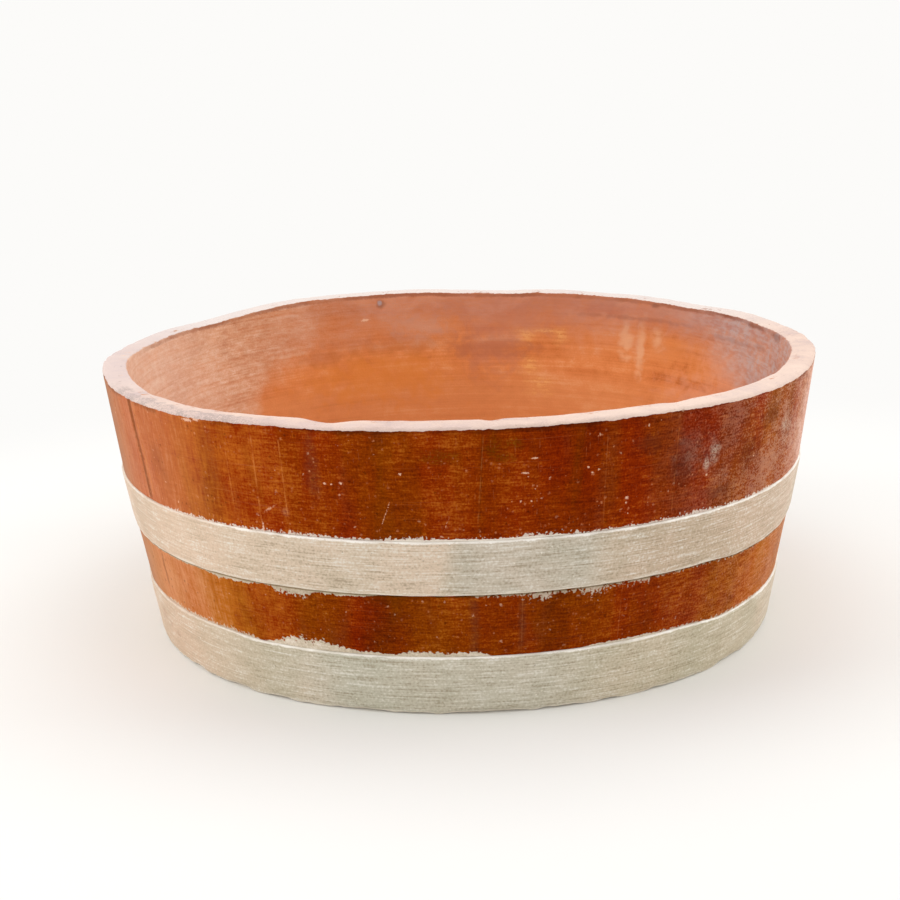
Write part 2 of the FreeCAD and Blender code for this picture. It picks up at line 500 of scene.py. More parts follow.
# A thin line that runs up the tub, leaning by some degrees to the metre, and fades at its ends
upright_line, coming, going = new_group(
    "upright_line", ["Here", "Up", "Ragged", "Angle", "Lean", "Low", "High", "Width"], ["Mask"])
climb = calc(upright_line, "SUBTRACT", coming["Up"], coming["Low"])
centre = calc(upright_line, "MULTIPLY_ADD", climb, coming["Lean"], coming["Angle"])
turn_to = calc(upright_line, "WRAP", calc(upright_line, "SUBTRACT", coming["Here"], centre), 180, -180)
across = calc(upright_line, "MULTIPLY", calc(upright_line, "ABSOLUTE", turn_to), math.radians(rim_radius))
across = calc(upright_line, "ADD", calc(upright_line, "DIVIDE", across, coming["Width"]), coming["Ragged"])
started = ramp(upright_line, climb, -0.001, 0.005)
ended = ramp(upright_line, calc(upright_line, "SUBTRACT", coming["High"], coming["Up"]), -0.001, 0.005)
feed(upright_line, going["Mask"], times(upright_line, ramp(upright_line, across, 1.1, 0.4), started, ended))

# A stretch of the tub's round: one in its middle, nothing past its ends
stretch, coming, going = new_group("stretch", ["Here", "Angle", "Half", "Soft"], ["Mask"])
turn_to = calc(stretch, "WRAP", calc(stretch, "SUBTRACT", coming["Here"], coming["Angle"]), 180, -180)
past = calc(stretch, "SUBTRACT", calc(stretch, "ABSOLUTE", turn_to), coming["Half"])
feed(stretch, going["Mask"], ramp(stretch, calc(stretch, "DIVIDE", past, coming["Soft"]), 1, 0))


def grain(tree, around, up, detail=2.0, swirl=0.0):
    """A brushed texture, by how many marks to the metre."""
    return use(tree, brushed, Round=around, Up=up, Detail=detail, Swirl=swirl)["Grain"]


def scatter(tree, per_metre, share, size):
    """The mask of scattered specks."""
    return use(tree, specks, PerMetre=per_metre, Share=share, Size=size)["Mask"]


def marks(tree, here, ragged, soft, rows):
    """The mask of a set of marks: degrees, height, half width, half tall."""
    every = {"Here": here["Angle"], "Up": here["Height"], "Ragged": ragged, "Soft": soft}
    return any_of(tree, (use(tree, smudge, **every, Angle=angle, Height=height, Width=width,
                             Tall=tall)["Mask"] for angle, height, width, tall in rows))


def lines(tree, here, ragged, rows):
    """The mask of a set of thin lines: degrees at the foot, lean, lowest and highest point, half width."""
    every = {"Here": here["Angle"], "Up": here["Height"], "Ragged": ragged}
    return any_of(tree, (use(tree, upright_line, **every, Angle=angle, Lean=lean, Low=low, High=high,
                             Width=width)["Mask"] for angle, lean, low, high, width in rows))


def part_way(tree, here, angle, half, soft):
    """The mask of a stretch of the tub's round."""
    return use(tree, stretch, Here=here["Angle"], Angle=angle, Half=half, Soft=soft)["Mask"]


def raw_cement(tree, clouds, crumbs):
    """The colour of cement as it left the mould."""
    tone = gather(tree, 0.5, [(clouds, 0.9), (crumbs, 0.6)])
    return shades(tree, tone, (0.1, 128, 122, 114), (0.9, 176, 170, 160))


tree, shader = new_material("stained_concrete", wall)
here = use(tree, tub_place)
depth_below = read(tree, "below_rim")
is_inside = read(tree, "inside")
across_rim = read(tree, "out_on_rim")
drawn_height = read(tree, "drawn_height")
broad = grain(tree, 5, 7)
columns = grain(tree, 20, 3.2, 4)
clouds = grain(tree, 24, 30, 4, 0.6)
patches = grain(tree, 80, 95, 3, 0.4)
brush = grain(tree, 10, 240, 3)
hairs = grain(tree, 90, 640)
threads = grain(tree, 640, 90)
fibres = grain(tree, 420, 16)
crumbs = grain(tree, 600, 600, 2)
ragged = gather(tree, 0, [(grain(tree, 380, 380, 3), 2.6)])
wander = gather(tree, 0, [(grain(tree, 70, 80, 4, 0.4), 3.2)])

# Stain on the outside: deep brown in front, paler and more orange round to the left, dusty to the right. The
# paler sides are partly thinner stain and partly painted sheen.
# It runs in upright stripes, some redder and some yellower.
# Warm places: degrees, height, half width, half tall
left_side = part_way(tree, here, -86, 24, 54)
right_side = part_way(tree, here, 88, 14, 50)
low_down = ramp(tree, here["Height"], 0.17, 0.11)
soft_edge = gather(tree, 0, [(grain(tree, 110, 120, 3), 2.4), (crumbs, 0.8)])
warm_places = [(-29, 0.232, 0.03, 0.024), (-17, 0.252, 0.03, 0.007), (-1, 0.254, 0.02, 0.007),
               (34, 0.085, 0.07, 0.02)]
speckle = gather(tree, 0, [(hairs, 0.52), (threads, 0.16), (crumbs, 0.48)])
strength = gather(tree, 0.4, [(broad, 0.15), (columns, 0.5), (clouds, 0.24), (patches, 0.16), (brush, 0.14)])
sides = calc(tree, "ADD", left_side, right_side)
strength = shift(tree, strength, [
    (speckle, ramp(tree, left_side, 0, 0.8, 1, 0.3)),
    # Partly painted sheen: the left side lifted paler and more orange, and the right a little
    (left_side, 0.42),
    (right_side, 0.18),
    (part_way(tree, here, 18, 8, 18), -0.06),
    (part_way(tree, here, -25, 10, 14), -0.06),
    (times(tree, part_way(tree, here, 30, 12, 14), low_down), -0.05),
    (times(tree, part_way(tree, here, -24, 8, 12), low_down), -0.1),
    (marks(tree, here, soft_edge, 0.9, warm_places), 0.05),
    (low_down, calc(tree, "MULTIPLY_ADD", sides, 0.08, 0.05)),
    (times(tree, calc(tree, "SUBTRACT", fibres, 0.5), left_side), 0.5),
])
red_stain = shades(tree, strength, (0.0, 72, 10, 0), (0.25, 112, 26, 0), (0.45, 140, 43, 0),
                   (0.7, 182, 94, 26), (1.0, 212, 142, 96))
yellow_stain = shades(tree, strength, (0.0, 68, 20, 0), (0.25, 108, 40, 0), (0.45, 136, 60, 0),
                      (0.7, 179, 102, 26), (1.0, 210, 146, 96))
yellowness = gather(tree, 0.4, [(grain(tree, 26, 4, 3), 3.2)])
yellowness = shift(tree, yellowness, [(low_down, 0.4), (part_way(tree, here, -28, 8, 10), -0.35)])
stain = mix(tree, yellowness, red_stain, yellow_stain)
olive = ramp(tree, grain(tree, 26, 9, 3, 0.5), 0.56, 0.72, 0, 0.25)
stain = lay(tree, stain, (108, 60, 0), olive)
plum = ramp(tree, grain(tree, 30, 8, 3, 0.5), 0.55, 0.72)
stain = lay(tree, stain, (118, 62, 40), plum, ramp(tree, crumbs, 0.35, 0.6), 0.25)

# Places where the stain is greener or greyer: degrees, height, half width, half tall
green_places = [(4.2, 0.244, 0.006, 0.010), (7.2, 0.248, 0.008, 0.006), (-3, 0.237, 0.013, 0.006),
                (5.5, 0.236, 0.008, 0.005)]
green = marks(tree, here, soft_edge, 0.8, green_places)
stain = lay(tree, stain, (84, 58, 0), green, ramp(tree, crumbs, 0.35, 0.6, 0.05, 0.45))
grey_places = [(-20.5, 0.226, 0.005, 0.024), (1.4, 0.085, 0.004, 0.03), (8.5, 0.085, 0.003, 0.03)]
grey = marks(tree, here, soft_edge, 0.8, grey_places)
stain = lay(tree, stain, (86, 50, 36), grey, ramp(tree, crumbs, 0.3, 0.6, 0.15, 0.5), 0.8)

# Dust on the right, thicker in grains; painted sheen as a pale strip down the right edge and a pale veil on
# the left; and dark places in the dust
dust_grain = gather(tree, 0.5, [(grain(tree, 13, 16, 4, 0.8), 1.2), (patches, 0.9), (crumbs, 2.0),
                                (hairs, 0.6)])
stain = lay(tree, stain, (184, 138, 116), right_side, ramp(tree, dust_grain, 0.28, 0.82, 0.06, 0.95),
            ramp(tree, low_down, 0, 1, 1, 0.35))
# Painted sheen: a pale pinkish strip down the right-hand edge
stain = lay(tree, stain, (238, 196, 178), part_way(tree, here, 85, 12, 16),
            ramp(tree, low_down, 0, 1, 0.75, 0.2), ramp(tree, dust_grain, 0.15, 0.75, 0.5, 1.1))
# Painted sheen: a pale veil over the left side, then the far left dulled to tan, which is partly painted
# sheen as well
painted_sheen = (186, 112, 92)
stain = lay(tree, stain, painted_sheen, part_way(tree, here, -72, 14, 22),
            ramp(tree, here["Height"], 0.1, 0.13, 0.18, 0.28))
stain = lay(tree, stain, painted_sheen, part_way(tree, here, -57, 6, 18),
            ramp(tree, here["Height"], 0.12, 0.15, 0, 0.2))
stain = lay(tree, stain, (156, 116, 88), part_way(tree, here, -94, 18, 20), 0.7)
dark_places = [(32, 0.214, 0.010, 0.018), (46, 0.207, 0.014, 0.016), (51, 0.236, 0.014, 0.008),
               (40, 0.18, 0.016, 0.006), (27, 0.235, 0.012, 0.008)]
stain = lay(tree, stain, (88, 34, 18), marks(tree, here, soft_edge, 0.9, dark_places), 0.5)

# Score lines, and pale lines between the would-be staves:
# degrees at the foot, lean, lowest and highest point, half width
dark_lines = [(-55.3, -14, 0.164, 0.262, 0.0042), (-57.5, 14, 0.075, 0.11, 0.0030)]
stave_line = [(2.3, 8, 0.18, 0.258, 0.0012)]
pale_lines = [(-53.9, -14, 0.17, 0.258, 0.0016), (-34.1, 0, 0.175, 0.235, 0.0008),
              (-29.6, 2, 0.172, 0.25, 0.0009), (-25.1, -1, 0.18, 0.25, 0.0009)]
faint_lines = [(2.0, 12, 0.17, 0.256, 0.0006), (20, 0, 0.17, 0.25, 0.0006), (31, 0, 0.17, 0.25, 0.0006),
               (49, 0, 0.17, 0.24, 0.0008), (8.5, 0, 0.06, 0.112, 0.0006), (24, 0, 0.06, 0.112, 0.0006)]
broken = ramp(tree, patches, 0.35, 0.6, 0.15, 1)
scored = lines(tree, here, times(tree, ragged, 0.4), dark_lines)
stain = lay(tree, stain, (104, 54, 20), scored, ramp(tree, low_down, 0, 1, 0.6, 0.4))
stain = lay(tree, stain, (60, 28, 0), lines(tree, here, ragged, stave_line), broken, 0.35)
stain = lay(tree, stain, (214, 132, 66), lines(tree, here, ragged, pale_lines), broken, 0.4)
stain = lay(tree, stain, (206, 124, 66), lines(tree, here, ragged, faint_lines), broken, 0.2)

# Scuffs: fine hairs, scratches, specks knocked off the stain, and grime in its pits
worn = ramp(tree, grain(tree, 30, 36, 3), 0.43, 0.66)
worn = calc(tree, "MAXIMUM", worn, ramp(tree, here["Height"], 0.19, 0.166, 0, 0.7))
worn = times(tree, worn, ramp(tree, low_down, 0, 1, 1, 0.5))
fine_edge = gather(tree, 0, [(grain(tree, 900, 900, 2), 2.6)])
upright_hairs = ramp(tree, grain(tree, 800, 14), 0.66, 0.74)
level_hairs = ramp(tree, grain(tree, 9, 1300), 0.66, 0.75)
stain = lay(tree, stain, (210, 132, 84), calc(tree, "MAXIMUM", upright_hairs, level_hairs), 0.16)
scratches = [(-11.6, 66, 0.172, 0.200, 0.0006), (-2.5, 60, 0.174, 0.184, 0.0005),
             (-25.3, -760, 0.2506, 0.2535, 0.0022), (-29, 240, 0.181, 0.190, 0.0020)]
dotted = ramp(tree, gather(tree, 0.5, [(patches, 0.6), (crumbs, 1.4)]), 0.4, 0.62)
stain = lay(tree, stain, (222, 168, 136), lines(tree, here, ragged, scratches), dotted, 0.75)
stain = lay(tree, stain, (222, 150, 106), scatter(tree, 300, 0.28, 0.55), worn, 0.6)
stain = lay(tree, stain, (238, 190, 156), scatter(tree, 170, 0.15, 0.32), worn, 0.85)
stain = lay(tree, stain, (56, 16, 0), scatter(tree, 230, 0.25, 0.45), 0.45)
knocks = [(-18.9, 0.2124, 0.0011, 0.0008), (-17.9, 0.2120, 0.0009, 0.0007), (-16.6, 0.2134, 0.0012, 0.0009),
          (-8.2, 0.2231, 0.0014, 0.0009), (8.6, 0.2212, 0.0025, 0.0008), (9.9, 0.2336, 0.0025, 0.0007),
          (17.4, 0.2216, 0.0010, 0.0008), (18.0, 0.2168, 0.0009, 0.0007), (23.4, 0.1905, 0.0016, 0.0012),
          (-29.4, 0.167, 0.0008, 0.005), (-40.8, 0.2545, 0.0055, 0.0013), (-38.8, 0.2565, 0.004, 0.0012),
          (8, 0.197, 0.0008, 0.0007), (9.5, 0.1965, 0.0008, 0.0008)]
stain = lay(tree, stain, (236, 192, 164), marks(tree, here, fine_edge, 0.45, knocks), 0.8)

# Chalky rubs: strong, and faint ones round them
chalk_marks = [(37.9, 0.2175, 0.0045, 0.009), (36.6, 0.2085, 0.003, 0.006), (56.4, 0.2185, 0.006, 0.006),
               (58.6, 0.213, 0.004, 0.006)]
faint_marks = [(34, 0.220, 0.016, 0.014), (40, 0.194, 0.008, 0.010), (57, 0.207, 0.012, 0.013),
               (-25.4, 0.1845, 0.003, 0.003)]
chalk = calc(tree, "MAXIMUM", marks(tree, here, soft_edge, 0.9, chalk_marks),
             times(tree, marks(tree, here, soft_edge, 0.9, faint_marks), 0.2))
chalk_grain = gather(tree, 0.5, [(patches, 0.6), (crumbs, 1.2)])
stain = lay(tree, stain, (206, 166, 142), scatter(tree, 330, 0.4, 0.5),
            times(tree, right_side, ramp(tree, patches, 0.4, 0.65), 0.75))
stain = lay(tree, stain, (196, 178, 158), chalk, ramp(tree, chalk_grain, 0.3, 0.75, 0.08, 0.62))

# Painted shade: a dark line on the wall just under the rim's edge, stronger in a few stretches
rim_shade_stretches = any_of(tree, [part_way(tree, here, -15, 5, 5), part_way(tree, here, 11, 6, 5),
                       ramp(tree, clouds, 0.45, 0.6, 0, 0.6)])
rim_shade_depth = calc(tree, "ADD", depth_below, gather(tree, 0, [(patches, 0.006)]))
stain = lay(tree, stain, (58, 20, 4), ramp(tree, rim_shade_depth, 0.0085, 0.004), rim_shade_stretches, 0.6)

# Silver paint past the bands: films of it, and bits where the brush skipped. Under the upper band lies a
# broken dark line of painted shade
above_upper = calc(tree, "SUBTRACT", drawn_height, upper_band_top)
below_upper = calc(tree, "SUBTRACT", upper_band_bottom, drawn_height)
above_lower = calc(tree, "SUBTRACT", drawn_height, lower_band_top)
band_shade_grain = gather(tree, 0.5, [(patches, 1.4), (crumbs, 1.0)])
# Painted shade: a dark broken line just under the upper band
stain = lay(tree, stain, (58, 36, 8), ramp(tree, below_upper, 0.0028, 0.0006),
            ramp(tree, below_upper, -0.002, -0.001), part_way(tree, here, 28, 42, 14),
            ramp(tree, band_shade_grain, 0.35, 0.6, 0.2, 0.8))
teeth = gather(tree, 0, [(grain(tree, 330, 300, 3), 2.4), (grain(tree, 60, 60, 2), 1.0)])
skips = gather(tree, 0, [(grain(tree, 380, 340, 3), 3.0), (patches, 1.2)])
least_reach = 0.00005


def reach_of(rows):
    """How far paint reaches past an edge, by stretches of it: degrees, half width, soft ends, metres."""
    return shift(tree, least_reach, [(part_way(tree, here, angle, half, soft), more)
                                     for angle, half, soft, more in rows])


def spilt(past, films, bits):
    """The mask of paint past an edge: films with a toothed border, and bits, fewer the farther out."""
    on_wall = ramp(tree, past, -0.002, -0.001)
    reach = reach_of(films)
    border = calc(tree, "ADD", calc(tree, "DIVIDE", past, reach), teeth)
    film = times(tree, ramp(tree, border, 1.12, 0.88), ramp(tree, reach, 0.0003, 0.0009), on_wall)
    reach = reach_of(bits)
    left = calc(tree, "SUBTRACT", skips, calc(tree, "DIVIDE", past, reach))
    bit = times(tree, ramp(tree, left, -0.45, -0.1), ramp(tree, reach, 0.0004, 0.0012), on_wall, 0.75)
    return times(tree, calc(tree, "MAXIMUM", film, bit), 0.9)


paint = shades(tree, gather(tree, 0.5, [(crumbs, 0.7), (patches, 0.6), (hairs, 0.5)]),
               (0.2, 182, 168, 144), (0.5, 212, 199, 176), (0.8, 238, 229, 214))
over_lower = spilt(
    above_lower, [(-25, 1, 8, 0.0070), (-20, 5, 8, 0.0022), (-3.5, 5, 3, 0.0036), (25, 4, 4, 0.0018)],
    [(-46, 10, 6, 0.0055), (-12, 4, 4, 0.003), (36, 10, 8, 0.0035), (62, 8, 8, 0.003)])
over_upper = spilt(
    above_upper, [(-3.5, 5, 3, 0.0015), (9, 4.5, 3, 0.0013), (30, 8, 8, 0.0006)],
    [(-36, 10, 8, 0.0040), (-16, 8, 6, 0.0025), (-3, 6, 4, 0.0042), (9, 5, 4, 0.0038), (24, 12, 8, 0.0032),
     (44, 8, 8, 0.003)])
under_upper = spilt(
    below_upper, [(-26.5, 2, 2, 0.0040), (-22, 6, 5, 0.0026), (-52, 14, 8, 0.0016), (-37, 3, 3, 0.002)],
    [(7, 4, 3, 0.0045), (15, 5, 3, 0.0060), (23, 4, 4, 0.0070), (46, 16, 8, 0.0040)])
# Painted shade: the paint just under the upper band darkened toward the band's edge
shadowed_paint = lay(tree, paint, (112, 96, 58), ramp(tree, below_upper, 0.0022, 0.0008, 0.15, 0.75))
stain = mix(tree, over_lower, stain, paint)
stain = mix(tree, over_upper, stain, lay(tree, paint, (246, 238, 226), 0.7))
stain = mix(tree, under_upper, stain, shadowed_paint)

# Inside: the same stain, thinner and more orange, brushed round
sweeps = grain(tree, 5, 90, 4, 0.3)
streaks = grain(tree, 9, 420, 2)
inner_strength = gather(tree, 0.5, [(broad, 0.8), (clouds, 0.8), (sweeps, 0.75), (streaks, 0.55),
                                    (patches, 0.45), (crumbs, 0.35)])
inner = shades(tree, inner_strength, (0.0, 176, 98, 50), (0.35, 212, 130, 74), (0.65, 226, 146, 88),
               (1.0, 238, 178, 128))
inner = lay(tree, inner, (223, 153, 100), ramp(tree, here["Height"], 0.178, 0.142, 0, 0.5))
# Tones laid over it: how strong, the colour, and places by degrees, height, half width and half tall
inner_tones = [
    (0.60, (225, 141, 64), [(-163, 0.166, 0.085, 0.024)]),
    (0.60, (225, 145, 84), [(131, 0.207, 0.05, 0.016), (122, 0.19, 0.03, 0.012)]),
    (0.50, (190, 128, 106), [(142, 0.243, 0.13, 0.013), (168, 0.234, 0.07, 0.018), (173, 0.20, 0.035, 0.03)]),
    (0.40, (178, 108, 74), [(-168, 0.205, 0.09, 0.010), (172, 0.196, 0.06, 0.008),
                            (-150, 0.196, 0.03, 0.008)]),
    (0.50, (227, 166, 134), [(112, 0.186, 0.05, 0.03), (120, 0.16, 0.06, 0.02)]),
    (0.45, (209, 174, 156), [(131, 0.249, 0.035, 0.007), (146, 0.251, 0.03, 0.005),
                             (-172, 0.222, 0.03, 0.010)]),
    (0.55, (178, 104, 80), [(116, 0.250, 0.05, 0.007), (103, 0.251, 0.025, 0.007),
                            (148, 0.247, 0.03, 0.006)]),
    (0.50, (240, 200, 160), [(142.5, 0.212, 0.008, 0.020), (138.7, 0.204, 0.006, 0.026),
                             (134.6, 0.218, 0.008, 0.012)]),
]
for share, tone, rows in inner_tones:
    inner = lay(tree, inner, tone, marks(tree, here, wander, 0.8, rows), share)
mottle = grain(tree, 90, 280, 3, 0.3)
broken_edge = gather(tree, 0.1, [(patches, 2.6), (mottle, 2.2), (crumbs, 0.8)])
yellow_places = [(165.4, 0.211, 0.011, 0.010), (157.7, 0.212, 0.010, 0.008), (161.5, 0.2165, 0.018, 0.003),
                 (164.2, 0.1755, 0.014, 0.010), (161.8, 0.154, 0.018, 0.010)]
flecks = gather(tree, 0.5, [(mottle, 1.6), (streaks, 0.8), (crumbs, 0.8)])
inner = lay(tree, inner, (246, 192, 116), marks(tree, here, broken_edge, 0.9, yellow_places),
            ramp(tree, flecks, 0.35, 0.75, 0.1, 0.65))

# Dust inside: tan over the left half, browner in a strip along the top, and at the right mauve and run thin
right_dust = part_way(tree, here, 98, 12, 26)
dust_line = shift(tree, 0.230, [(part_way(tree, here, -92, 0, 62), -0.22),
                                (part_way(tree, here, 80, 0, 40), -0.15)])
over_line = calc(tree, "SUBTRACT", here["Height"], dust_line)
over_line = calc(tree, "ADD", over_line, gather(tree, 0, [(clouds, 0.07), (patches, 0.02)]))
dust = ramp(tree, over_line, -0.04, 0.025)
runs = times(tree, grain(tree, 60, 14, 4, 0.4), right_dust)
thin = gather(tree, 0.5, [(patches, 0.3), (mottle, 0.35), (crumbs, 0.5), (streaks, 0.45)])
thin = calc(tree, "SUBTRACT", ramp(tree, thin, 0.2, 0.8, 0.55, 0.95),
            times(tree, ramp(tree, runs, 0.35, 0.65), 0.2))
dust_colour = shades(tree, gather(tree, 0.5, [(broad, 0.6), (clouds, 0.9), (mottle, 0.4)]),
                     (0.2, 176, 116, 92), (0.5, 188, 128, 104), (0.8, 202, 146, 122))
tan_tone = gather(tree, 0.5, [(broad, 0.5), (clouds, 0.7), (mottle, 0.8), (streaks, 0.6), (crumbs, 0.5)])
tan_dust = shades(tree, tan_tone, (0.15, 178, 124, 92), (0.5, 210, 166, 134), (0.85, 232, 200, 174))
tan_dust = lay(tree, tan_dust, (236, 212, 192), part_way(tree, here, -92, 8, 36), 0.7)
mauve_dust = mix(tree, ramp(tree, mottle, 0.35, 0.6), tint(174, 150, 146), tint(184, 172, 170))
dust_colour = mix(tree, part_way(tree, here, -100, 24, 44), dust_colour, tan_dust)
dust_colour = mix(tree, right_dust, dust_colour, mauve_dust)
inner = mix(tree, times(tree, dust, thin), inner, dust_colour)

# Small marks inside: dark spots, one greyed in its middle, a pale chip, dark streaks, a line under the rim.
# The dark spots along the back right, from 96 to 117 degrees, are painted shadow under the chipped inner
# edge.
dark_spots_and_chip_shade = [(-163.7, 0.2525, 0.006, 0.0045), (136.2, 0.254, 0.005, 0.002), (133.8, 0.2575, 0.007, 0.0015),
              (117, 0.257, 0.02, 0.0014), (106, 0.255, 0.02, 0.0018), (96, 0.255, 0.016, 0.003)]
greyed_spot = [(-163.5, 0.2535, 0.003, 0.0025)]
pale_chip = [(-160, 0.2345, 0.005, 0.0014)]
dark_streaks = [(112, 0.233, 0.04, 0.0022), (101, 0.236, 0.02, 0.0025), (140, 0.2375, 0.06, 0.0022)]
# Dark spots; those along the back right are painted shadow under the chipped edge
inner = lay(tree, inner, (110, 70, 56), marks(tree, here, wander, 0.8, dark_spots_and_chip_shade), 0.5)
inner = lay(tree, inner, (178, 168, 170), marks(tree, here, wander, 0.5, greyed_spot), 0.7)
inner = lay(tree, inner, (236, 200, 168), marks(tree, here, ragged, 0.4, pale_chip), 0.7)
inner = lay(tree, inner, (128, 78, 66), marks(tree, here, wander, 0.8, dark_streaks), 0.26)
under_edge = calc(tree, "ADD", depth_below, gather(tree, 0, [(patches, 0.004), (crumbs, 0.002)]))
under_edge = times(tree, ramp(tree, under_edge, 0.0065, 0.0035), ramp(tree, clouds, 0.35, 0.6, 0.35, 0.9))
inner = lay(tree, inner, (142, 82, 56), under_edge, part_way(tree, here, 180, 70, 24), 0.75)

# Rim: bare cement, worn pale, with grey crumbly places in front on the left, and pores
rim_edge = gather(tree, 0, [(grain(tree, 60, 60, 2), 0.0025), (grain(tree, 260, 260, 3), 0.002)])
rim_edge = calc(tree, "ADD", depth_below, rim_edge)
rim_limit = calc(tree, "MULTIPLY_ADD", is_inside, -0.0030, 0.0036)
bare = ramp(tree, calc(tree, "SUBTRACT", rim_limit, rim_edge), -0.0003, 0.0003)
cement = shades(tree, gather(tree, 0.55, [(clouds, 1.0), (patches, 0.5), (crumbs, 0.5)]),
                (0.15, 192, 172, 170), (0.5, 222, 196, 182), (0.9, 234, 210, 194))
outer_half = ramp(tree, calc(tree, "ADD", across_rim, gather(tree, 0, [(patches, 1.2)])), 0.35, 0.75)
cement = lay(tree, cement, (206, 184, 180), part_way(tree, here, -28, 26, 14), outer_half,
             ramp(tree, patches, 0.3, 0.6, 0.4, 1), 0.5)
cement = lay(tree, cement, (234, 212, 198), part_way(tree, here, 40, 14, 20), 0.3)
cement = lay(tree, cement, (210, 194, 192), part_way(tree, here, -92, 20, 30), 0.6)
cement = lay(tree, cement, (221, 211, 206), part_way(tree, here, 180, 50, 40), 0.75)
crumbled = ramp(tree, gather(tree, 0.5, [(patches, 1.0), (crumbs, 1.6)]), 0.35, 0.65)
cement = lay(tree, cement, (158, 144, 138), part_way(tree, here, -46, 13, 10),
             ramp(tree, outer_half, 0.2, 0.8), crumbled, 0.55)
cement = lay(tree, cement, (150, 126, 116), scatter(tree, 170, 0.1, 0.3), 0.5)
cement = lay(tree, cement, (176, 148, 136), scatter(tree, 320, 0.22, 0.4), ramp(tree, clouds, 0.4, 0.6), 0.5)

# Underneath, on the sole and the ledge: raw cement
sole = ramp(tree, here["Height"], 0.0015, 0.0005)
ledge = times(tree, is_inside, ramp(tree, here["Height"], 0.009, 0.0078))
raw = calc(tree, "MAXIMUM", sole, ledge)
colour = mix(tree, is_inside, stain, inner)
colour = mix(tree, bare, colour, cement)
colour = mix(tree, raw, colour, raw_cement(tree, clouds, crumbs))
feed(tree, shader.inputs["Base Color"], colour)
roughness = gather(tree, 0.5, [(brush, 0.25), (clouds, 0.25)])
roughness = shift(tree, roughness, [(any_of(tree, [bare, is_inside, raw]), 0.3)])
feed(tree, shader.inputs["Roughness"], roughness)
shader.inputs["Specular IOR Level"].default_value = 0.01
height = gather(tree, 0.5, [(brush, 0.4), (hairs, 0.3), (threads, 0.3), (crumbs, 0.6), (patches, 0.5)])
bump = add(tree, "Bump", {"Height": height, "Distance": 0.0005, "Strength": 0.5})
feed(tree, shader.inputs["Normal"], bump.outputs[0])

# Bands: two hoops of render built up on the wall and keyed into its rebates, with rounded, uneven edges.
# They stand only a little proud, and are brushed all the way round with silver-grey paint.
band_proud = 0.002
band_rounding = 0.0012
band_top_slope = 0.0005


def make_band(name, node, rows):
    """One band, seated in its rebate."""
    low, high = (corner.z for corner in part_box(node))
    band = draw(name, [
        (wall_outside(low) - rebate_depth, low),
        (wall_outside(low) + band_proud, low),
        (wall_outside(high) + band_proud, high - band_top_slope),
        (wall_outside(high) - rebate_depth, high),
    ])
    round_off(band, band_rounding, rounding_steps, lambda x, y, z: x > wall_outside(z) + tiny)
    divide(band, rows, lambda x, y, z: (x > wall_outside(z) + band_proud / 2) & (z > low + 0.001)
           & (z < high - 0.0015))
    divide(band, 4, lambda x, y, z: z > high - band_top_slope - tiny)
    turn(band, full_turn_steps)
    x, y, z = places(band)
    out = np.hypot(x, y) - wall_outside(z)
    proud = rise(out, 0.0003, 0.001)
    weigh(band, "face", proud)
    weigh(band, "edges", proud * fade(np.minimum(z - low, high - z), 0.005, 1.2))
    weigh(band, "foot", (out > 0.0003) * fade(z - low, 0.004, 1.2))
    note(band, "below_top", high - z)
    note(band, "above_foot", z - low)
    shift_edges(band)
    swell(band)
    roughen(band, "face", 0.05, 0.0008, level=0.6)
    roughen(band, "edges", 0.016, 0.0009, contrast=1.6)
    bpy.ops.object.shade_smooth_by_angle(angle=smooth_angle)
    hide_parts(node)
    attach(band, "root")
    return band


upper_band = make_band("band_upper", "upper_band", rows=18)
lower_band = make_band("band_lower", "lower_band", rows=20)
roughen(lower_band, "foot", 0.03, 0.004, direction="Z", level=0.0, contrast=2.0, brightness=0.8)
note_place(upper_band)
note_place(lower_band)

# Silver paint, which changes tone along each band, with the brush's strokes in it
tree, shader = new_material("silver_paint", upper_band, lower_band)
here = use(tree, tub_place)
below_top = read(tree, "below_top")
above_foot = read(tree, "above_foot")
tones = grain(tree, 9, 3, 3, 0.3)
blotches = grain(tree, 36, 44, 4, 0.5)
wide_strokes = grain(tree, 9, 330, 2)
fine_strokes = grain(tree, 34, 820, 2)
crumbs = grain(tree, 480, 480, 2)
ragged = gather(tree, 0, [(grain(tree, 330, 330, 3), 2.6)])
on_upper = ramp(tree, here["Height"], 0.06, 0.11)
on_lower = ramp(tree, here["Height"], 0.11, 0.06)
silver = shades(tree, gather(tree, 0.5, [(tones, 1.8), (blotches, 0.7)]),
                (0.15, 182, 174, 150), (0.5, 198, 183, 160), (0.85, 214, 191, 168))
left_end = part_way(tree, here, -80, 26, 36)
# Painted light: the bands' ends paler and warmer, the left end most, where the sides are lit; the strokes
# show less there too
painted_light_ends = calc(tree, "MAXIMUM", left_end, times(tree, part_way(tree, here, 78, 20, 36), 0.45))
silver = lay(tree, silver, (221, 179, 147), painted_light_ends, 0.55)
slanted = {"Angle": calc(tree, "MULTIPLY_ADD", here["Height"], -50, calc(tree, "ADD", here["Angle"], 8.2))}
pale_stretch = any_of(tree, [times(tree, part_way(tree, here, -30, 16, 14), on_upper, 0.8),
                             times(tree, part_way(tree, slanted, -6.5, 4, 2.5), on_upper),
                             times(tree, part_way(tree, here, 4, 10, 12), on_lower, 0.6)])
silver = lay(tree, silver, (230, 204, 180), pale_stretch, 0.5)
silver = lay(tree, silver, (184, 156, 128), part_way(tree, here, 44, 14, 14), on_upper, 0.4)
greyer = any_of(tree, [times(tree, part_way(tree, here, 9, 8, 5), on_upper, 0.4),
                       times(tree, part_way(tree, here, -4, 14, 14), on_lower, 0.4)])
silver = lay(tree, silver, (184, 186, 174), greyer)
silver = lay(tree, silver, (200, 200, 178), part_way(tree, here, 22, 60, 24), on_lower, 0.3)
